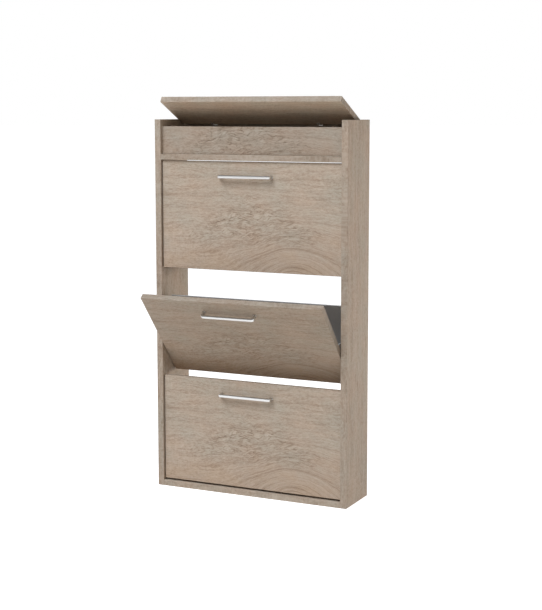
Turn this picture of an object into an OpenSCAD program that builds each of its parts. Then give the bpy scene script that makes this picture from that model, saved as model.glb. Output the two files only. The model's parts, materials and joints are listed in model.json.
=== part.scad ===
// Slim three-flap shoe cabinet with a lidded top compartment, in millimetres.
// +Z is up, the front looks towards -Y, and the origin is on the floor under the middle of the carcass.
// One flap and the lid are drawn open, because that is the rest pose of the assembly.

/* [Carcass] */
// Overall width across the outer faces of the side panels
cabinet_w = 580; // [480:10:900]
// Depth of the side panels
cabinet_d = 150; // [150:1:200]
// Thickness of the two side panels
side_t = 18; // [16:1:22]
// Thickness of every other board
board_t = 16; // [15:1:18]
// Height of the fixed fascia in front of the top compartment
fascia_h = 75.5; // [60:0.5:120]
// Set-back of the fascia behind the front edges of the sides
fascia_recess = 10; // [2:1:20]
// Height of the lower rear stretcher
lower_stretcher_h = 50; // [46:1:54]
// Height of the upper rear stretcher
upper_stretcher_h = 40; // [40:1:60]

/* [Flaps] */
// Height of one flap
flap_h = 297.5; // [280:0.5:360]
// Set-back of the flaps behind the front edges of the sides
flap_recess = 7; // [2:1:8]
// Gap between a flap or the lid and the side panel next to it
side_gap = 2; // [1.5:0.5:3]
// Gap between two closed flaps, wide enough for the lower corner to swing through
flap_gap = 4.2; // [4.2:0.1:8]
// Gap between the lowest flap and the bottom panel
bottom_gap = 5.3; // [5.3:0.1:9]
// Gap between the highest flap and the compartment floor
top_gap = 2.3; // [2:0.1:9]
// Distance from the front face of a flap back to its pivot
pivot_in = 30; // [28:0.5:32]
// Distance from the lower edge of a flap up to its pivot
pivot_up = 89.5; // [88:0.5:92]
// Opening angle of a flap, in degrees
flap_open = 40; // [25:1:40]

/* [Trays] */
// Depth of a tray floor from the rear face of its flap
tray_depth = 86; // [70:1:87]
// Height of a tray back wall
tray_back_h = 156; // [100:1:170]
// Thickness of the tray floor and back wall
tray_t = 3; // [2:0.5:4]
// Rise of the tray floor towards the rear, in degrees
tray_tilt = 8; // [4:1:10]
// Lean of the tray back wall to the rear, in degrees
back_lean = 4.8; // [2:0.2:5]

/* [Lid] */
// Overhang of the closed lid in front of the side panels
lid_overhang = 8.6; // [4:0.2:20]
// Angle at which the lid is drawn open, in degrees
lid_rest = 26; // [0:1:60]
// Distance of each lid hinge from the middle of the pair
hinge_x = 162; // [100:1:200]
// Offset of the pair of lid hinges from the middle of the cabinet
hinge_shift = -8; // [-20:1:20]
// Width of a lid hinge
hinge_w = 13; // [12:1:20]

/* [Handles] */
// Overall length of a handle
handle_l = 160; // [120:1:200]
// Projection of a handle from the flap
handle_p = 20; // [18:1:32]
// Height of the handle's bar
handle_h = 9; // [8:1:12]
// Distance from the upper edge of a flap down to its handle
handle_drop = 41; // [25:1:80]
// Offset of the handles from the middle of their flaps
handle_shift = -11; // [-40:1:40]

/* [Hidden] */
$fn = 48;

// Colours
oak = [0.72, 0.66, 0.60];
beech = [0.85, 0.72, 0.53];
nickel = [0.80, 0.79, 0.77];
zinc = [0.70, 0.71, 0.73];
tray_grey = [0.42, 0.42, 0.40];
bush_white = [0.92, 0.92, 0.90];
felt_brown = [0.34, 0.26, 0.20];

// Heights of the carcass
flap_pitch = flap_h + flap_gap;
lowest_flap_z = board_t + bottom_gap;
floor_z = lowest_flap_z + 2 * flap_pitch + flap_h + top_gap;
fascia_z = floor_z + board_t;
lid_gap = 3;
lid_z = fascia_z + fascia_h + lid_gap;
cabinet_h = lid_z + board_t;
// The upper stretcher reaches a little below the highest flap, which hides it
stretcher_drop = 12;
upper_stretcher_z = lowest_flap_z + 2 * flap_pitch - stretcher_drop;

// Places across and along the depth
inner_x = cabinet_w / 2 - side_t;
front_y = -cabinet_d / 2;
rear_y = cabinet_d / 2;
rail_y = rear_y - board_t;
rail_mid_y = rear_y - board_t / 2;
fascia_y = front_y + fascia_recess;
flap_x = inner_x - side_gap;
pivot_y = front_y + flap_recess + pivot_in;
function pivot_z(i) = lowest_flap_z + i * flap_pitch + pivot_up;
// The middle flap is drawn open, the two others closed.
function rest_angle(i) = i == 1 ? flap_open : 0;

// Knock-down fittings: a cam and its bolt pull a board to a side, and a dowel keeps its place
dowel_r = 4;
dowel_in_side = 10;
dowel_in_board = 18;
cam_r = 7.4;
cam_h = 12.3;
cam_hole_r = 7.5;
cam_hole_depth = 12.7;
cam_in = 24;
cam_way_r = 3.6;
cam_cross_w = 7.2;
bolt_thread_r = 2.5;
bolt_thread_l = 11;
bolt_collar_r = 3.5;
bolt_collar_t = 1;
bolt_shaft_r = 2.3;
bolt_head_r = 3.3;
bolt_head_l = 3;
bolt_hole_r = 4;
flat_cam_y = 45;
flat_board_z = [board_t / 2, floor_z + board_t / 2];
// Each rail: height of its cam, then height of its dowel
rail_fittings = [[board_t + 14, board_t + 34], [upper_stretcher_z + 12, upper_stretcher_z + 29],
    [fascia_z + 28, fascia_z + 54]];
fascia_dowel_z = [fascia_z + 0.25 * fascia_h, fascia_z + 0.75 * fascia_h];
flat_cam_spots = [for (z = flat_board_z) for (y = [-flat_cam_y, flat_cam_y]) [y, z]];
rail_cam_spots = [for (f = rail_fittings) [rail_mid_y, f[0]]];
dowel_spots = concat([for (z = flat_board_z) [0, z]], [for (f = rail_fittings) [rail_mid_y, f[1]]],
    [for (z = fascia_dowel_z) [fascia_y + board_t / 2, z]]);

// Flap pivots and stops
pivot_r = 4;
running_gap = 0.06;
moving_gap = 0.3;
bush_r = 6.5;
bush_l = 12;
bush_flange_r = 9;
bush_flange_t = 0.8;
collar_r = 7;
stop_r = 3;
stop_collar_r = 5;
stop_collar_t = 1.5;
stop_radius = 40;
// Direction from the pivot to the stop pin, from the rearward horizontal
stop_angle = -50;
stop_y = pivot_y + stop_radius * cos(stop_angle);
stop_dz = stop_radius * sin(stop_angle);
// How far the stop slot runs past the middle of the pin at each end of the travel, in degrees
slot_end = asin((stop_r + moving_gap + 0.05) / stop_radius);

// Brackets: a flat arm at each end of a tray, screwed to the flap
bracket_t = 4;
bracket_x = inner_x - 4 - bracket_t;
ledge_w = 10;
ledge_t = 2;
foot_w = 12;
foot_t = 3;
foot_low = -50;
foot_l = 96;
flap_back = board_t - pivot_in;
screw_r = 1.75;
screw_cross_w = 4.8;
foot_screw_v = [-40, 0, 36];
foot_screw_x = bracket_x - foot_w / 2;
foot_screw_l = 11;
foot_screw_head_r = 3.4;
foot_screw_head_h = 2;

// Tray outline in the plane of the arm: u runs rearward and v up from the pivot
floor_front = [flap_back + 0.6, -70];
// Corners of the arm between its tray walls and the upper end of its foot
arm_low_v = -82;
arm_high_v = 52;
arm_waist = [[14, 12], [0, 45]];
floor_dir = [cos(tray_tilt), sin(tray_tilt)];
back_dir = [sin(back_lean), cos(back_lean)];
tray_corner = floor_front + tray_depth * floor_dir;
back_top = tray_corner + tray_back_h * back_dir;

// Handles
handle_bar_t = 7;
handle_leg_t = 8;
handle_corner_r = 8;
handle_inner_r = 4;
handle_screw_r = 2;
handle_screw_head_r = 4;
handle_screw_head_h = 2.4;
handle_screw_in = 8;
handle_screw_x = (handle_l - handle_leg_t) / 2;
handle_v = flap_h - pivot_up - handle_drop;

// Lid hinges: the pin is just above the lid, and each leaf is let in beside it
leaf_t = 1.5;
knuckle_r = 2.5;
hinge_pin_r = 1.2;
middle_knuckle = 4.4;
outer_knuckle = (hinge_w - middle_knuckle) / 2 - moving_gap;
hinge_y = rail_y - leaf_t - moving_gap / 2;
hinge_rise = 2.8;
hinge_z = cabinet_h + hinge_rise;
lid_rear = -leaf_t - moving_gap / 2;
leaf_top = -knuckle_r - 0.4;
leaf_tab = 13.5;
csk_r = 2.3;
csk_h = 1.1;
hinge_screw_r = 1.25;
hinge_screw_l = 11;
hinge_screw_dx = 3.2;
hinge_pin_head_r = 1.9;
hinge_pin_head_t = 0.8;
fixed_leaf_h = 16;
wall_hole_r = 3;
wall_hole_x = 200;
wall_hole_z = fascia_z + 47;

// Felt buffers on the fascia, just under the closed lid
buffer_r = 4;
buffer_x = inner_x - 30;

// A cylinder along X from x0, of length l
module x_rod(r, x0, l) {
    translate([x0, 0, 0]) rotate([0, 90, 0]) cylinder(r = r, h = l);
}

// A cross of width w cut upwards from z 0 to a depth, with slots a sixth of its width
module cross_recess(w, depth) {
    for (a = [0, 90]) rotate(a) translate([-w / 2, -w / 12, -1]) cube([w, w / 6, depth + 1]);
}

// Its children once on the right and once mirrored on the left
module both_sides() {
    children();
    mirror([1, 0, 0]) children();
}

// A profile in u (rearward) and v (up), extruded along X from x0
module arm_plate(x0, l) {
    translate([x0, 0, 0]) rotate([90, 0, 90]) linear_extrude(l) children();
}

// A straight strip from a to b, between the offsets t0 and t1 to the right of that direction
module strip(a, b, t0, t1) {
    d = (b - a) / norm(b - a);
    n = [d[1], -d[0]];
    polygon([a + t0 * n, b + t0 * n, b + t1 * n, a + t1 * n]);
}

// Its children in the frame of flap i, whose origin is its pivot axis, at the flap's rest angle
module at_flap(i) {
    translate([0, pivot_y, pivot_z(i)]) rotate([rest_angle(i), 0, 0]) children();
}

// Its children in the frame of the lid, whose origin is the hinge axis, at the lid's rest angle
module at_lid() {
    translate([0, hinge_y, hinge_z]) rotate([-lid_rest, 0, 0]) children();
}

// Its children at each of the two lid hinges
module at_hinges() {
    for (x = [-hinge_x, hinge_x]) translate([hinge_shift + x, 0, 0]) children();
}

// Its children at both ends of a handle
module at_handle_ends() {
    for (x = [-handle_screw_x, handle_screw_x]) translate([handle_shift + x, 0, 0]) children();
}

// Holes in the right-hand end of a board for cam bolts and dowels, at [y, z] spots
module end_holes(bolts, dowels) {
    for (s = bolts) translate([0, s[0], s[1]]) x_rod(bolt_hole_r, inner_x - cam_in, cam_in + 1);
    for (s = dowels) translate([0, s[0], s[1]]) x_rod(dowel_r, inner_x - dowel_in_board, dowel_in_board + 1);
}

module side_panel() {
    color(oak) difference() {
        translate([inner_x, front_y, 0]) cube([side_t, cabinet_d, cabinet_h]);
        for (s = concat(flat_cam_spots, rail_cam_spots))
            translate([0, s[0], s[1]]) x_rod(bolt_thread_r, inner_x - 1, bolt_thread_l + 1);
        for (s = dowel_spots) translate([0, s[0], s[1]]) x_rod(dowel_r, inner_x - 1, dowel_in_side + 1);
        for (i = [0:2]) {
            translate([0, pivot_y, pivot_z(i)]) x_rod(bush_r, inner_x - 1, bush_l + 2);
            translate([0, stop_y, pivot_z(i) + stop_dz]) x_rod(stop_r, inner_x - 1, bolt_thread_l + 1);
        }
    }
}

// A board lying flat between the sides, with its cams let in from below
module flat_board(z) {
    mid = z + board_t / 2;
    color(oak) difference() {
        translate([-inner_x, front_y, z]) cube([2 * inner_x, cabinet_d, board_t]);
        both_sides() {
            end_holes([[-flat_cam_y, mid], [flat_cam_y, mid]], [[0, mid]]);
            for (y = [-flat_cam_y, flat_cam_y])
                translate([inner_x - cam_in, y, z - 1]) cylinder(r = cam_hole_r, h = cam_hole_depth + 1);
        }
    }
}

// A board standing between the sides at the rear, with its cams let in from behind
module rear_board(z, h, fittings) {
    difference() {
        translate([-inner_x, rail_y, z]) cube([2 * inner_x, board_t, h]);
        both_sides() {
            end_holes([[rail_mid_y, fittings[0]]], [[rail_mid_y, fittings[1]]]);
            translate([inner_x - cam_in, rear_y - cam_hole_depth, fittings[0]])
                rotate([-90, 0, 0]) cylinder(r = cam_hole_r, h = cam_hole_depth + 1);
        }
    }
}

module back_rail() {
    color(oak) difference() {
        rear_board(fascia_z, cabinet_h - fascia_z, rail_fittings[2]);
        for (x = [-wall_hole_x, wall_hole_x]) translate([x, rail_y - 1, wall_hole_z])
            rotate([-90, 0, 0]) cylinder(r = wall_hole_r, h = board_t + 2);
        translate([0, hinge_y, hinge_z]) at_hinges() fixed_leaf_screws(0);
    }
}

module fascia_panel() {
    spots = [for (z = fascia_dowel_z) [fascia_y + board_t / 2, z]];
    color(oak) difference() {
        translate([-inner_x, fascia_y, fascia_z]) cube([2 * inner_x, board_t, fascia_h]);
        both_sides() end_holes([], spots);
    }
}

module dowels() {
    color(beech) both_sides() for (s = dowel_spots) translate([0, s[0], s[1]])
        x_rod(dowel_r, inner_x - dowel_in_board, dowel_in_board + dowel_in_side);
}

// A bolt along X: thread in the side, a collar at the joint, and a head at the cam
module cam_bolt() {
    translate([inner_x, 0, 0]) rotate([0, 90, 0]) rotate_extrude() polygon([
        [0, bolt_thread_l], [bolt_thread_r, bolt_thread_l], [bolt_thread_r, 0], [bolt_collar_r, 0],
        [bolt_collar_r, -bolt_collar_t], [bolt_shaft_r, -bolt_collar_t], [bolt_shaft_r, bolt_head_l - cam_in],
        [bolt_head_r, bolt_head_l - cam_in], [bolt_head_r, -cam_in], [0, -cam_in]]);
}

module cam_bolts() {
    color(zinc) both_sides() for (s = concat(flat_cam_spots, rail_cam_spots))
        translate([0, s[0], s[1]]) cam_bolt();
}

// A cam standing on its open face at z 0, with the bolt's way in at +X and a cross recess below
module cam_housing() {
    difference() {
        cylinder(r = cam_r, h = cam_h);
        translate([0, 0, board_t / 2]) x_rod(cam_way_r, -cam_way_r, cam_r + 5);
        cross_recess(cam_cross_w, 2);
    }
}

module cam_housings() {
    color(zinc) both_sides() {
        for (s = flat_cam_spots) translate([inner_x - cam_in, s[0], s[1] - board_t / 2]) cam_housing();
        for (s = rail_cam_spots) translate([inner_x - cam_in, rear_y, s[1]]) rotate([90, 0, 0]) cam_housing();
    }
}

module pivot_bushes() {
    color(bush_white) both_sides() for (i = [0:2]) translate([0, pivot_y, pivot_z(i)]) difference() {
        union() {
            x_rod(bush_r, inner_x - bush_flange_t, bush_l + bush_flange_t);
            x_rod(bush_flange_r, inner_x - bush_flange_t, bush_flange_t);
        }
        x_rod(pivot_r + running_gap, inner_x - 2, bush_l + 4);
    }
}

module stop_pins() {
    color(zinc) both_sides() for (i = [0:2]) translate([0, stop_y, pivot_z(i) + stop_dz]) {
        x_rod(stop_r, bracket_x - 1, inner_x - bracket_x + bolt_thread_l);
        x_rod(stop_collar_r, inner_x - stop_collar_t, stop_collar_t);
    }
}

module lid_buffers() {
    color(felt_brown) both_sides() translate([buffer_x, fascia_y + board_t / 2, fascia_z + fascia_h])
        cylinder(r = buffer_r, h = lid_gap - moving_gap);
}

// Two countersunk screws along +Z from a head face at z 0. As cutters they also reach past that face.
module csk_pair(past_face) {
    for (x = [-hinge_screw_dx, hinge_screw_dx]) translate([x, 0, 0]) {
        cylinder(r1 = csk_r, r2 = hinge_screw_r, h = csk_h);
        cylinder(r = hinge_screw_r, h = hinge_screw_l);
        if (past_face > 0) translate([0, 0, -past_face]) cylinder(r = csk_r, h = past_face);
    }
}

module fixed_leaf_screws(past_face) {
    translate([0, moving_gap / 2, leaf_top - fixed_leaf_h / 2]) rotate([-90, 0, 0]) csk_pair(past_face);
}

module lid_leaf_screws(past_face) {
    translate([0, lid_rear - leaf_tab / 2, -hinge_rise - board_t - leaf_t]) csk_pair(past_face);
}

module hinge_leaves_fixed() {
    color(nickel) translate([0, hinge_y, hinge_z]) at_hinges() difference() {
        union() {
            translate([-hinge_w / 2, moving_gap / 2, leaf_top - fixed_leaf_h])
                cube([hinge_w, leaf_t, fixed_leaf_h]);
            translate([-middle_knuckle / 2, moving_gap / 2, leaf_top - 0.5])
                cube([middle_knuckle, leaf_t, -leaf_top]);
            x_rod(knuckle_r, -middle_knuckle / 2, middle_knuckle);
        }
        x_rod(hinge_pin_r, -hinge_w, 2 * hinge_w);
        fixed_leaf_screws(1);
    }
}

module hinge_pins() {
    color(zinc) translate([0, hinge_y, hinge_z]) at_hinges() {
        x_rod(hinge_pin_r, -hinge_w / 2 - 1, hinge_w + 2);
        for (s = [-1, 1]) scale([s, 1, 1]) x_rod(hinge_pin_head_r, hinge_w / 2 + moving_gap, hinge_pin_head_t);
    }
}

module hinge_screws_rail() {
    color(zinc) translate([0, hinge_y, hinge_z]) at_hinges() fixed_leaf_screws(0);
}

module flap_panel(i) {
    color(oak) at_flap(i) difference() {
        translate([-flap_x, -pivot_in, -pivot_up]) cube([2 * flap_x, board_t, flap_h]);
        at_handle_ends() translate([0, -pivot_in - 1, handle_v]) rotate([-90, 0, 0])
            cylinder(r = handle_screw_r + 0.25, h = board_t + 2);
        both_sides() for (v = foot_screw_v) translate([foot_screw_x, flap_back - foot_screw_l, v])
            rotate([-90, 0, 0]) cylinder(r = screw_r, h = foot_screw_l + 1);
    }
}

// A block of length l and depth p standing forward of the line y 0, with rounded far corners
module rounded_block(l, p, r) {
    translate([-l / 2 + r, -p]) square([l - 2 * r, p]);
    translate([-l / 2, r - p]) square([l, p - r]);
    for (x = [r - l / 2, l / 2 - r]) translate([x, r - p]) circle(r);
}

module handle(i) {
    reach = handle_p - handle_bar_t;
    color(nickel) at_flap(i) translate([0, -pivot_in, handle_v]) difference() {
        translate([handle_shift, 0, -handle_h / 2]) linear_extrude(handle_h) difference() {
            rounded_block(handle_l, handle_p, handle_corner_r);
            translate([0, 1]) rounded_block(handle_l - 2 * handle_leg_t, reach + 1, handle_inner_r);
        }
        at_handle_ends() translate([0, -handle_screw_in - 1, 0]) rotate([-90, 0, 0])
            cylinder(r = handle_screw_r, h = handle_screw_in + 2);
    }
}

module handle_screws(i) {
    color(zinc) at_flap(i) at_handle_ends() translate([0, flap_back, handle_v]) {
        rotate([90, 0, 0]) cylinder(r = handle_screw_r, h = board_t + handle_screw_in);
        difference() {
            rotate([-90, 0, 0]) cylinder(r = handle_screw_head_r, h = handle_screw_head_h);
            translate([0, handle_screw_head_h, 0]) rotate([90, 0, 0]) cross_recess(screw_cross_w, 1.2);
        }
    }
}

// Outline of the arm: a foot along the flap, a web round the stop slot, and ribs beside the tray walls
module arm_outline() {
    difference() {
        polygon([[flap_back, arm_low_v], tray_corner + [7, -10], back_top + [4, -8], back_top + [-9, -6],
            tray_corner + [-6, 14], arm_waist[0], arm_waist[1], [flap_back, arm_high_v]]);
        circle(pivot_r);
        intersection() {
            difference() {
                circle(stop_radius + stop_r + moving_gap);
                circle(stop_radius - stop_r - moving_gap);
            }
            polygon([[0, 0], for (a = [slot_end, -flap_open / 2, -flap_open - slot_end])
                70 * [cos(stop_angle + a), sin(stop_angle + a)]]);
        }
    }
}

module bracket(i, right) {
    color(tray_grey) at_flap(i) mirror([right ? 0 : 1, 0, 0]) difference() {
        union() {
            arm_plate(bracket_x, bracket_t) arm_outline();
            arm_plate(bracket_x - ledge_w, ledge_w + 1) {
                strip(floor_front, tray_corner, tray_t, tray_t + ledge_t);
                strip(tray_corner, back_top - 9 * back_dir, tray_t, tray_t + ledge_t);
            }
            translate([bracket_x - foot_w, flap_back, foot_low]) cube([foot_w + 1, foot_t, foot_l]);
        }
        for (v = foot_screw_v) translate([foot_screw_x, flap_back - 1, v]) rotate([-90, 0, 0])
            cylinder(r = screw_r, h = foot_t + 2);
    }
}

module bracket_screws(i) {
    color(zinc) at_flap(i) both_sides() for (v = foot_screw_v) translate([foot_screw_x, flap_back, v]) {
        translate([0, -foot_screw_l, 0]) rotate([-90, 0, 0]) cylinder(r = screw_r, h = foot_screw_l + foot_t);
        difference() {
            translate([0, foot_t, 0]) rotate([-90, 0, 0])
                cylinder(r = foot_screw_head_r, h = foot_screw_head_h);
            translate([0, foot_t + foot_screw_head_h, 0]) rotate([90, 0, 0]) cross_recess(screw_cross_w, 1);
        }
    }
}

module tray_floor(i) {
    color(tray_grey) at_flap(i) arm_plate(-bracket_x, 2 * bracket_x)
        strip(floor_front, tray_corner - 1 * floor_dir, 0, tray_t);
}

module tray_back(i) {
    color(tray_grey) at_flap(i) arm_plate(-bracket_x, 2 * bracket_x)
        strip(tray_corner - 2.4 * back_dir, back_top, 0, tray_t);
}

module pivot_pins(i) {
    color(zinc) at_flap(i) both_sides() {
        x_rod(pivot_r, bracket_x, inner_x - bracket_x + bush_l - 1);
        x_rod(collar_r, bracket_x + bracket_t, inner_x - bracket_x - bracket_t - bush_flange_t - moving_gap);
    }
}

module lid_panel() {
    color(oak) at_lid() difference() {
        translate([-flap_x, front_y - lid_overhang - hinge_y, -hinge_rise - board_t])
            cube([2 * flap_x, hinge_y + lid_rear - front_y + lid_overhang, board_t]);
        at_hinges() lid_leaf_screws(0);
    }
}

module hinge_leaves_lid() {
    drop = hinge_rise + board_t + leaf_t;
    color(nickel) at_lid() at_hinges() difference() {
        union() {
            translate([-hinge_w / 2, lid_rear, -drop]) cube([hinge_w, leaf_t, drop + leaf_top]);
            translate([-hinge_w / 2, lid_rear - leaf_tab + leaf_t, -drop]) cube([hinge_w, leaf_tab, leaf_t]);
            for (s = [-1, 1]) scale([s, 1, 1]) {
                x_rod(knuckle_r, hinge_w / 2 - outer_knuckle, outer_knuckle);
                translate([hinge_w / 2 - outer_knuckle, lid_rear, leaf_top - 0.5])
                    cube([outer_knuckle, leaf_t, -leaf_top]);
            }
        }
        x_rod(hinge_pin_r + running_gap, -hinge_w, 2 * hinge_w);
        lid_leaf_screws(1);
    }
}

module hinge_screws_lid() {
    color(zinc) at_lid() at_hinges() lid_leaf_screws(0);
}

mirror([1, 0, 0]) side_panel();  // side_left
side_panel();  // side_right
flat_board(0);  // bottom_panel
flat_board(floor_z);  // compartment_floor
fascia_panel();
back_rail();
color(oak) rear_board(board_t, lower_stretcher_h, rail_fittings[0]);  // rear_stretcher_lower
color(oak) rear_board(upper_stretcher_z, upper_stretcher_h, rail_fittings[1]);  // rear_stretcher_upper
dowels();
cam_bolts();
cam_housings();
pivot_bushes();
stop_pins();
lid_buffers();
hinge_leaves_fixed();
hinge_pins();
hinge_screws_rail();
flap_panel(0);  // flap_lower
handle(0);  // handle_lower
handle_screws(0);  // handle_screws_lower
bracket(0, false);  // bracket_left_lower
bracket(0, true);  // bracket_right_lower
bracket_screws(0);  // bracket_screws_lower
tray_floor(0);  // tray_floor_lower
tray_back(0);  // tray_back_lower
pivot_pins(0);  // pivot_pins_lower
flap_panel(1);  // flap_middle
handle(1);  // handle_middle
handle_screws(1);  // handle_screws_middle
bracket(1, false);  // bracket_left_middle
bracket(1, true);  // bracket_right_middle
bracket_screws(1);  // bracket_screws_middle
tray_floor(1);  // tray_floor_middle
tray_back(1);  // tray_back_middle
pivot_pins(1);  // pivot_pins_middle
flap_panel(2);  // flap_upper
handle(2);  // handle_upper
handle_screws(2);  // handle_screws_upper
bracket(2, false);  // bracket_left_upper
bracket(2, true);  // bracket_right_upper
bracket_screws(2);  // bracket_screws_upper
tray_floor(2);  // tray_floor_upper
tray_back(2);  // tray_back_upper
pivot_pins(2);  // pivot_pins_upper
lid_panel();
hinge_leaves_lid();
hinge_screws_lid();
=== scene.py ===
"""Looks for the slim shoe cabinet: procedural oak decor, satin nickel, plastics, studio light and camera.

Lengths are in metres and angles in degrees, in the row frame: +Z up, the front towards -Y.
"""
import json
import math

import bpy
from mathutils import Matrix, Vector


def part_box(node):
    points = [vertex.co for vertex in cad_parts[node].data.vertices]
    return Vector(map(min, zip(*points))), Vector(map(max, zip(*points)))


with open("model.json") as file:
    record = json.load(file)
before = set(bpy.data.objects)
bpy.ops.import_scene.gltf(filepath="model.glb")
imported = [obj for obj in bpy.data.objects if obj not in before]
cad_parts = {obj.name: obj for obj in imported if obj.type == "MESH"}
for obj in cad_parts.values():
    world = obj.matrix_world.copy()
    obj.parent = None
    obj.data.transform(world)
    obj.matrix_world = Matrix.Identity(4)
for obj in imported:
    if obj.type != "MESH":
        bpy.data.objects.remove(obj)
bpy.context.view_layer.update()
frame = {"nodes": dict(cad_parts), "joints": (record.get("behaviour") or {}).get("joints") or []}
NODES = frame["nodes"]
JOINTS = {joint["name"]: joint for joint in frame["joints"]}
FLOORS = ("lower", "middle", "upper")
ALONG_X, ALONG_Y, ALONG_Z = Vector((1, 0, 0)), Vector((0, 1, 0)), Vector((0, 0, 1))


# ---------------------------------------------------------------- camera
CAMERA_AT = Vector((1.6835, -3.3995, 1.0583))
CAMERA_YAW = 25.436
CAMERA_PITCH = -6.892
FOCAL_PX = 1383.7
FRAME_PX = (542, 610)
SENSOR_MM = 36.0
SHIFT_X = -0.0192
SHIFT_Y = -0.0441


def make_camera():
    data = bpy.data.cameras.new("camera")
    data.sensor_fit = "AUTO"
    data.sensor_width = SENSOR_MM
    data.lens = FOCAL_PX * SENSOR_MM / max(FRAME_PX)
    data.shift_x = SHIFT_X
    data.shift_y = SHIFT_Y
    data.clip_start, data.clip_end = 0.1, 100.0
    camera = bpy.data.objects.new("camera", data)
    camera.location = CAMERA_AT
    camera.rotation_euler = (math.radians(90.0 + CAMERA_PITCH), 0.0, math.radians(CAMERA_YAW))
    bpy.context.scene.collection.objects.link(camera)
    bpy.context.scene.camera = camera


# ---------------------------------------------------------------- node graphs
class Graph:
    """Short calls that add nodes to one shader tree and link them."""

    def __init__(self, tree):
        self.tree = tree

    def put(self, socket, value):
        """Links value to the socket if it is a socket too, and otherwise sets the socket to it."""
        if isinstance(value, bpy.types.NodeSocket):
            self.tree.links.new(value, socket)
        elif value is not None:
            socket.default_value = value

    def node(self, kind, inputs=None, **settings):
        made = self.tree.nodes.new(kind)
        for key, value in settings.items():
            setattr(made, key, value)
        for key, value in (inputs or {}).items():
            self.put(made.inputs[key], value)
        return made

    def math(self, operation, a, b=None):
        made = self.node("ShaderNodeMath", operation=operation)
        self.put(made.inputs[0], a)
        self.put(made.inputs[1], b)
        return made.outputs[0]

    def times(self, a, b):
        return self.math("MULTIPLY", a, b)

    def total(self, start, *weighted):
        """start plus each value times its weight."""
        for value, weight in weighted:
            start = self.math("ADD", start, self.times(value, weight))
        return start

    def xyz(self, x, y, z):
        return self.node("ShaderNodeCombineXYZ", {"X": x, "Y": y, "Z": z}).outputs[0]

    def split(self, vector):
        return self.node("ShaderNodeSeparateXYZ", {"Vector": vector}).outputs

    def noise(self, vector, detail=2.0, roughness=0.5, scale=1.0):
        """Noise with its middle moved to 0."""
        made = self.node(
            "ShaderNodeTexNoise",
            {"Vector": vector, "Scale": scale, "Detail": detail, "Roughness": roughness},
        )
        return self.math("SUBTRACT", made.outputs["Fac"], 0.5)

    def steps(self, value, low, high):
        """A smooth step of value from 0 at low to 1 at high."""
        made = self.node("ShaderNodeMapRange", interpolation_type="SMOOTHSTEP")
        for key, x in (("Value", value), ("From Min", low), ("From Max", high)):
            self.put(made.inputs[key], x)
        return made.outputs[0]

    def bell(self, value, centre, width):
        """A bell curve of value, 1 at centre."""
        offset = self.times(self.math("SUBTRACT", value, centre), 1.0 / width)
        return self.math("POWER", math.e, self.times(self.times(offset, offset), -1.0))

    def ramp(self, value, stops):
        made = self.node("ShaderNodeValToRGB", {"Fac": value})
        band = made.color_ramp.elements
        while len(band) < len(stops):
            band.new(0.5)
        for element, (at, colour) in zip(band, stops):
            element.position = at
            element.color = (*colour, 1.0)
        return made.outputs["Color"]

    def colour_product(self, a, b):
        made = self.node("ShaderNodeMix", data_type="RGBA", blend_type="MULTIPLY")
        # A Mix node keeps its colour sockets after those of its number and vector forms
        for socket, value in ((0, 1.0), (6, a), (7, b)):
            self.put(made.inputs[socket], value)
        return made.outputs[2]


def new_material(name):
    """A material with an empty tree, its graph and its Principled shader."""
    material = bpy.data.materials.new(name)
    material.use_nodes = True
    material.node_tree.nodes.clear()
    graph = Graph(material.node_tree)
    shader = graph.node("ShaderNodeBsdfPrincipled")
    graph.node("ShaderNodeOutputMaterial", {"Surface": shader.outputs[0]})
    return material, graph, shader


def add_bump(graph, shader, height, strength, distance):
    bump = graph.node("ShaderNodeBump", {"Height": height, "Strength": strength, "Distance": distance})
    graph.put(shader.inputs["Normal"], bump.outputs[0])


# ---------------------------------------------------------------- oak decor
# Colours of the decor from its darkest lines to its palest streaks
OAK_STOPS = (
    (0.10, (0.205, 0.148, 0.102)),
    (0.36, (0.345, 0.270, 0.204)),
    (0.52, (0.425, 0.350, 0.276)),
    (0.80, (0.520, 0.445, 0.365)),
)
# Tints laid over them, from a greenish grey to a pinkish beige and a warm one;
# the warm end also colours the painted warm bounce light at a flap's foot
DRIFT_AND_BOUNCE_STOPS = (
    (0.15, (0.93, 0.99, 0.99)),
    (0.70, (1.0, 0.95, 0.905)),
    (1.0, (1.0, 0.915, 0.83)),
)
# One cathedral hill near the foot of a flap, and a patch of curly grain above it and to its left
HILL_AT = (0.135, -0.01)
HILL_SIZE = (0.13, 0.12)
HILL_RISE = 0.115
CURL_AT = (0.03, 0.125)
CURL_SIZE = (0.20, 0.060)
# Distance from the foot of a flap within which the decor is warmer: a painted warm bounce light from
# below
FOOT_PAINTED_BOUNCE = 0.08
# Brightness of the edge banding as a share of the faces'
EDGE_BAND = 0.88
OAK_BUMP_STRENGTH = 0.5
OAK_BUMP_DEPTH = 0.0009


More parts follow.
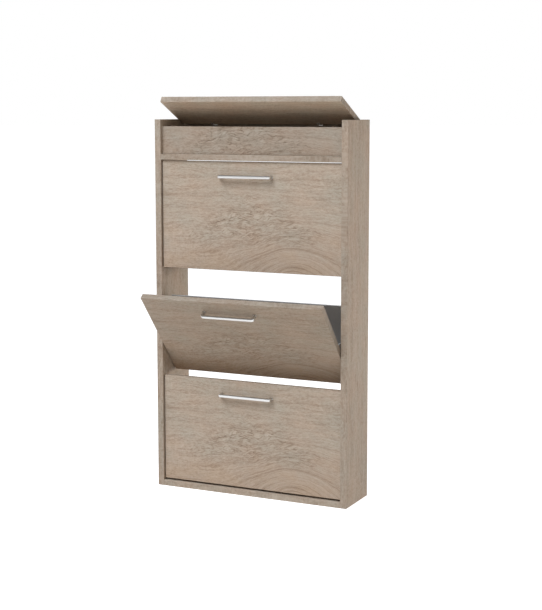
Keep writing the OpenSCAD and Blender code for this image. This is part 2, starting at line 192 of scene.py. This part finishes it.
def oak_group():
    """The printed decor. Its vector is in metres: X along the grain, Y across it, Z into the board."""
    tree = bpy.data.node_groups.new("oak_decor", "ShaderNodeTree")
    tree.interface.new_socket("Vector", in_out="INPUT", socket_type="NodeSocketVector")
    tree.interface.new_socket("Color", in_out="OUTPUT", socket_type="NodeSocketColor")
    tree.interface.new_socket("Height", in_out="OUTPUT", socket_type="NodeSocketFloat")
    g = Graph(tree)
    along, across, depth = g.split(g.node("NodeGroupInput").outputs["Vector"])

    def patch(at, size):
        return g.times(g.bell(along, at[0], size[0]), g.bell(across, at[1], size[1]))

    def stretched(a, c, d, **kind):
        """Noise whose frequencies along, across and into the board are a, c and d per metre."""
        return g.noise(g.xyz(g.times(along, a), g.times(across, c), g.times(depth, d)), **kind)

    # Where the grain runs: level lines of flow, bent by slow noise, lifted over the hill and
    # restless in the curls
    hill = patch(HILL_AT, HILL_SIZE)
    curl = g.steps(g.total(patch(CURL_AT, CURL_SIZE), (stretched(6.0, 9.0, 7.0), 1.6)), 0.10, 0.75)
    flow = g.total(
        across,
        (hill, -HILL_RISE),
        (stretched(2.4, 5.0, 5.0), 0.06),
        (stretched(11.0, 20.0, 24.0), g.total(0.014, (curl, 0.034))),
        (stretched(60.0, 90.0, 120.0), g.total(0.003, (curl, 0.005))),
        (depth, 0.35),
    )

    def grained(a, c, layer, **kind):
        """Noise that follows the flow, with frequencies a and c per metre; each layer has its own."""
        return g.noise(g.xyz(g.times(along, a), g.times(flow, c), layer), **kind)

    bands = grained(0.9, 46.0, 3.1, detail=3.0, roughness=0.55)
    ring_lines = g.bell(grained(1.6, 75.0, 9.4, detail=1.0), 0.0, 0.035)
    lines = grained(22.0, 300.0, 7.7, roughness=0.6)
    dashes = grained(70.0, 340.0, 1.3, roughness=0.6)
    flecks = grained(120.0, 380.0, 4.4, detail=1.0)
    pores = grained(260.0, 620.0, 2.2, roughness=0.7)
    pore_dark = g.steps(pores, 0.07, 0.20)
    # Short curved ticks: the level lines of a coarse noise, seen where the grain curls
    ticks = g.bell(grained(34.0, 105.0, 6.1, detail=1.0), 0.0, 0.045)
    # Saw marks across the grain, in some areas only
    saw_area = g.steps(stretched(4.0, 9.0, 7.0, detail=1.0), 0.02, 0.16)
    saw = g.noise(g.xyz(g.times(along, 330.0), g.times(across, 24.0), 5.9))
    cloud = stretched(3.5, 7.0, 7.0, detail=3.0)
    tone = g.total(
        0.55,
        (bands, 0.34),
        (ring_lines, g.total(-0.07, (hill, -0.17))),
        (lines, 0.46),
        (dashes, g.total(0.12, (curl, 0.55))),
        (g.times(ticks, curl), -0.23),
        (flecks, g.total(0.50, (hill, -0.25))),
        (g.times(saw, saw_area), 0.30),
        (pores, 0.55),
        (pore_dark, -0.05),
        (cloud, 0.22),
    )
    warmth = stretched(9.0, 16.0, 12.0, detail=3.0, roughness=0.6)
    # The decor's random tint, plus a painted warm bounce light near the foot of each flap
    drift_and_painted_bounce = g.total(0.5, (warmth, 1.5), (g.bell(across, 0.0, FOOT_PAINTED_BOUNCE), 0.38))
    colour = g.colour_product(g.ramp(tone, OAK_STOPS), g.ramp(drift_and_painted_bounce, DRIFT_AND_BOUNCE_STOPS))
    height = g.total(g.times(tone, 0.6), (pore_dark, -0.4))
    g.node("NodeGroupOutput", {"Color": colour, "Height": height})
    return tree


OAK = oak_group()


def oak_material(name, along, across, origin, tint, band):
    """Oak laminate with its grain along one direction of the row frame and its decor's zero at origin.

    tint scales the board's brightness, and band is that of its edge banding as a share of the faces'.
    """
    material, g, shader = new_material(name)
    into = along.cross(across)
    turn = Matrix((along, across, into))
    coordinates = g.node("ShaderNodeTexCoord").outputs
    mapping = {
        "Vector": coordinates["Object"],
        "Location": -(turn @ origin),
        "Rotation": turn.to_euler("XYZ"),
    }
    mapped = g.node("ShaderNodeMapping", mapping).outputs[0]
    decor = g.node("ShaderNodeGroup", node_tree=OAK)
    g.put(decor.inputs["Vector"], mapped)
    colour, height = decor.outputs["Color"], decor.outputs["Height"]
    facing = g.node("ShaderNodeVectorMath", {0: coordinates["Normal"], 1: into}, operation="DOT_PRODUCT")
    on_face = g.steps(g.math("ABSOLUTE", facing.outputs["Value"]), 0.3, 0.9)
    value = g.times(g.total(band, (on_face, 1.0 - band)), tint)
    toned = g.node("ShaderNodeHueSaturation", {"Color": colour, "Value": value})
    g.put(shader.inputs["Base Color"], toned.outputs[0])
    # The pale streaks are a little smoother than the dark pores
    g.put(shader.inputs["Roughness"], g.total(0.62, (g.steps(height, -0.1, 0.9), -0.16)))
    shader.inputs["Specular IOR Level"].default_value = 0.35
    add_bump(g, shader, height, OAK_BUMP_STRENGTH, OAK_BUMP_DEPTH)
    return material


# ---------------------------------------------------------------- other materials
# Metals: colour, roughness, and how strongly the brushed marks show
METALS = {
    "satin_nickel": ((0.64, 0.635, 0.62), 0.30, 0.06),
    "hinge_steel": ((0.95, 0.94, 0.92), 0.12, 0.02),
    "zinc_plate": ((0.72, 0.73, 0.76), 0.34, 0.05),
}
# Materials with a grained skin: colour, roughness, and how much the colour varies
GRAINED = {
    "grey_plastic": ((0.360, 0.354, 0.338), 0.55, 0.05),
    "nylon": ((0.78, 0.78, 0.75), 0.45, 0.03),
    "brown_felt": ((0.13, 0.09, 0.06), 0.95, 0.15),
    "beech": ((0.68, 0.47, 0.27), 0.7, 0.12),
}
# Frequencies per metre of the brushed marks, and of the clouds and grains of a grained skin
MARKS_ALONG, MARKS_ACROSS = 60.0, 5000.0
CLOUDS, GRAINS = 14.0, 1400.0
MARK_DEPTH = 0.0001
GRAIN_DEPTH = 0.0002


def metal_material(name, colour, roughness, brushed):
    """Metal with fine marks along X; brushed is how strongly they show."""
    material, g, shader = new_material(name)
    x, y, z = g.split(g.node("ShaderNodeTexCoord").outputs["Object"])
    stretch = g.xyz(g.times(x, MARKS_ALONG), g.times(y, MARKS_ACROSS), g.times(z, MARKS_ACROSS))
    marks = g.noise(stretch, detail=3.0)
    shader.inputs["Base Color"].default_value = (*colour, 1.0)
    shader.inputs["Metallic"].default_value = 1.0
    g.put(shader.inputs["Roughness"], g.total(roughness, (marks, brushed)))
    add_bump(g, shader, marks, brushed, MARK_DEPTH)
    return material


def grained_material(name, colour, roughness, speckle):
    """Plastic, felt or plain wood with soft clouds in its colour and a fine grained skin."""
    material, g, shader = new_material(name)
    where = g.node("ShaderNodeTexCoord").outputs["Object"]
    cloud = g.noise(where, scale=CLOUDS, detail=3.0)
    grains = g.noise(where, scale=GRAINS)
    low, high = (tuple(c * k for c in colour) for k in (1.0 - speckle, 1.0 + speckle))
    mixed = g.total(0.5, (cloud, 0.9), (grains, 0.5))
    g.put(shader.inputs["Base Color"], g.ramp(mixed, ((0.2, low), (0.8, high))))
    g.put(shader.inputs["Roughness"], g.total(roughness, (grains, 0.15)))
    add_bump(g, shader, grains, 0.25, GRAIN_DEPTH)
    return material


# ---------------------------------------------------------------- shapes
BOARD_EDGE = 0.0009
HANDLE_EDGE = 0.0026
TRAY_EDGE = 0.0005
FELT_EDGE = 0.0006


def soften(node, width, segments):
    """Rounds the outer edges of a CAD node by modifiers, which leave its own mesh as it is."""
    weld = node.modifiers.new("weld", "WELD")
    weld.merge_threshold = 1e-5
    flat = node.modifiers.new("flat_faces", "DECIMATE")
    flat.decimate_type = "DISSOLVE"
    flat.angle_limit = math.radians(0.5)
    bevel = node.modifiers.new("edge_radius", "BEVEL")
    bevel.width = width
    bevel.segments = segments
    bevel.limit_method = "ANGLE"
    bevel.angle_limit = math.radians(40)
    bevel.use_clamp_overlap = False
    normals = node.modifiers.new("normals", "WEIGHTED_NORMAL")
    normals.keep_sharp = False


def dress(node_name, material, edge=None, segments=2):
    node = NODES[node_name]
    node.data.materials.clear()
    node.data.materials.append(material)
    if edge:
        soften(node, edge, segments)


# ---------------------------------------------------------------- boards
# Each board's brightness as a share of the decor's. The fascia is darkened as painted shade under the
# open lid, and the lid is paled as painted light on its shaded underside; the rear boards, the
# compartment floor and the middle flap are darker, and the bottom panel and the lower flap paler, than
# the sides
BOARD_TONES_AND_PAINTED_LIGHT = {
    "bottom_panel": 1.10,
    "compartment_floor": 0.93,
    "fascia_panel": 0.80,
    "back_rail": 0.80,
    "rear_stretcher_lower": 0.80,
    "rear_stretcher_upper": 0.80,
    "flap_lower": 1.03,
    "flap_middle": 0.94,
    "lid_panel": 1.27,
}
# The lid's edge banding is darker, which keeps the painted light of the lid's pale tone off its front
# edge
LID_BAND = 0.65
# Boards without a hill take their decor from elsewhere: its zero for the first one, and the step
# from there to the next
SIDES_FROM, SIDES_STEP = Vector((0.0, 1.3, 2.1)), Vector((0.0, 0.37, -3.7))
LEVEL_FROM, LEVEL_STEP = Vector((4.1, 2.3, 0.0)), Vector((1.0, -1.0, 0.0))
REAR_FROM, REAR_STEP = Vector((1.6, 0.0, 2.5)), Vector((-1.7, 0.0, 0.6))
LID_FROM_HINGE = Vector((5.2, 3.4, 0.0))


def dress_board(name, along, across, origin, band=EDGE_BAND):
    material = oak_material("oak_" + name, along, across, origin, BOARD_TONES_AND_PAINTED_LIGHT.get(name, 1.0), band)
    dress(name, material, BOARD_EDGE)


def dress_row(names, along, across, start, step):
    for k, name in enumerate(names):
        dress_board(name, along, across, start + k * step)


def pivot_of(joint_name):
    return Vector(JOINTS[joint_name]["pos_m"])


def turned(vector, joint_name):
    """vector as it lies on the joint's body in the CAD, from how it lies when the body is shut.

    All joints turn about X, and a body is shut at the lower end of its joint's range.
    """
    joint = JOINTS[joint_name]
    from_shut = -joint["range_deg"][0] * joint["axis"][0]
    return Matrix.Rotation(math.radians(from_shut), 3, "X") @ vector


def dress_carcass():
    dress_row(("side_left", "side_right"), ALONG_Z, ALONG_Y, SIDES_FROM, SIDES_STEP)
    dress_row(("bottom_panel", "compartment_floor"), ALONG_X, ALONG_Y, LEVEL_FROM, LEVEL_STEP)
    rear = ("back_rail", "rear_stretcher_lower", "rear_stretcher_upper")
    dress_row(rear, ALONG_X, ALONG_Z, REAR_FROM, REAR_STEP)
    # The curly patch of the decor lies in the middle of the fascia
    low, high = (Vector(corner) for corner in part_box("fascia_panel"))
    curl = Vector((CURL_AT[0], 0.0, CURL_AT[1]))
    dress_board("fascia_panel", ALONG_X, ALONG_Z, (low + high) / 2 - curl)


def dress_flaps():
    # The lower flap is shut, so its box gives the outer edge of a flap's foot, as seen from its pivot
    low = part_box("flap_lower")[0]
    foot = Vector((0.0, low[1], low[2])) - pivot_of("flap_lower_tilt")
    for floor in FLOORS:
        joint_name = "flap_%s_tilt" % floor
        origin = pivot_of(joint_name) + turned(foot, joint_name)
        dress_board("flap_" + floor, ALONG_X, turned(ALONG_Z, joint_name), origin)


def dress_lid():
    origin = pivot_of("lid_lift") + LID_FROM_HINGE
    dress_board("lid_panel", ALONG_X, turned(ALONG_Y, "lid_lift"), origin, LID_BAND)


# ---------------------------------------------------------------- fittings
def dress_fittings():
    made = {name: metal_material(name, *look) for name, look in METALS.items()}
    made.update({name: grained_material(name, *look) for name, look in GRAINED.items()})
    for floor in FLOORS:
        dress("handle_" + floor, made["satin_nickel"], HANDLE_EDGE, segments=4)
        for part in ("handle_screws_", "bracket_screws_", "pivot_pins_"):
            dress(part + floor, made["zinc_plate"])
        for part in ("bracket_left_", "bracket_right_", "tray_floor_", "tray_back_"):
            dress(part + floor, made["grey_plastic"], TRAY_EDGE)
    for name in ("cam_bolts", "cam_housings", "stop_pins"):
        dress(name, made["zinc_plate"])
    for name in ("hinge_pins", "hinge_screws_rail", "hinge_screws_lid"):
        dress(name, made["zinc_plate"])
    for name in ("hinge_leaves_fixed", "hinge_leaves_lid"):
        dress(name, made["hinge_steel"])
    dress("dowels", made["beech"])
    dress("pivot_bushes", made["nylon"])
    dress("lid_buffers", made["brown_felt"], FELT_EDGE)


# ---------------------------------------------------------------- stage
FLOOR_HALF = 400.0
FLOOR_GREY = 0.50
FLOOR_GLOW = 0.92
WHITE = (1.0, 1.0, 1.0)
GROUND_LIGHT = (0.90, 0.83, 0.78)
HORIZON_LIGHT = (0.12, 0.115, 0.11)
SKY_LIGHT = (0.36, 0.36, 0.38)
# The world's light by direction, from 0 straight down to 1 straight up
WORLD_STOPS = ((0.40, GROUND_LIGHT), (0.46, HORIZON_LIGHT), (0.66, HORIZON_LIGHT), (0.90, SKY_LIGHT))
# Reflections see the white backdrop up to here, as the upward part of their direction: all of it
# below the first, and none above the second
BACKDROP_FADE = (0.10, 0.35)
# Lamps: place, size, watts and colour. All of them face the middle of the cabinet
LAMPS = {
    "key": ((-1.2, -3.8, 5.0), (4.8, 3.0), 388.0, (0.87, 0.915, 1.0)),
    "fill": ((3.6, -1.2, 0.9), (1.6, 1.2), 6.0, (1.0, 0.86, 0.76)),
    "rear": ((1.0, 2.4, 0.6), (1.4, 0.8), 48.0, (1.0, 0.93, 0.88)),
}
LAMPS_FACE = Vector((0.0, 0.0, 0.55))


def make_floor():
    mesh = bpy.data.meshes.new("floor")
    corners = [(x * FLOOR_HALF, y * FLOOR_HALF, 0.0) for x, y in ((-1, -1), (1, -1), (1, 1), (-1, 1))]
    mesh.from_pydata(corners, [], [(0, 1, 2, 3)])
    floor = bpy.data.objects.new("floor", mesh)
    bpy.context.scene.collection.objects.link(floor)
    material, _, shader = new_material("pale_floor")
    shader.inputs["Base Color"].default_value = (FLOOR_GREY, FLOOR_GREY, FLOOR_GREY, 1.0)
    shader.inputs["Roughness"].default_value = 0.9
    shader.inputs["Specular IOR Level"].default_value = 0.0
    shader.inputs["Emission Color"].default_value = (*WHITE, 1.0)
    shader.inputs["Emission Strength"].default_value = FLOOR_GLOW
    mesh.materials.append(material)
    # The light that a floor would throw back up comes from the lower half of the world
    floor.visible_diffuse = False


def make_world():
    """White behind the object; pale light from the ground, little from the walls, some from above."""
    world = bpy.data.worlds.new("studio")
    bpy.context.scene.world = world
    world.use_nodes = True
    world.node_tree.nodes.clear()
    g = Graph(world.node_tree)
    height = g.split(g.node("ShaderNodeTexCoord").outputs["Generated"])[2]
    light = g.ramp(g.total(0.5, (height, 0.5)), WORLD_STOPS)
    path = g.node("ShaderNodeLightPath").outputs
    backdrop = g.math("SUBTRACT", 1.0, g.steps(height, *BACKDROP_FADE))
    is_white = g.math("MAXIMUM", path["Is Camera Ray"], g.times(path["Is Glossy Ray"], backdrop))
    soft = g.node("ShaderNodeBackground", {"Color": light})
    white = g.node("ShaderNodeBackground", {"Color": (*WHITE, 1.0)})
    mixed = g.node("ShaderNodeMixShader", {0: is_white, 1: soft.outputs[0], 2: white.outputs[0]})
    g.node("ShaderNodeOutputWorld", {"Surface": mixed.outputs[0]})


def make_lamps():
    for name, (at, size, watts, colour) in LAMPS.items():
        data = bpy.data.lights.new(name, "AREA")
        data.shape = "RECTANGLE"
        data.size, data.size_y = size
        data.energy = watts
        data.color = colour
        lamp = bpy.data.objects.new(name, data)
        lamp.location = at
        lamp.rotation_euler = (LAMPS_FACE - Vector(at)).to_track_quat("-Z", "Y").to_euler()
        # Metal mirrors the pale floor, the backdrop and the dim walls, not the lamps
        lamp.visible_camera = False
        lamp.visible_glossy = False
        bpy.context.scene.collection.objects.link(lamp)


make_camera()
dress_carcass()
dress_flaps()
dress_lid()
dress_fittings()
make_floor()
make_world()
make_lamps()
bpy.context.scene.view_settings.view_transform = "Standard"
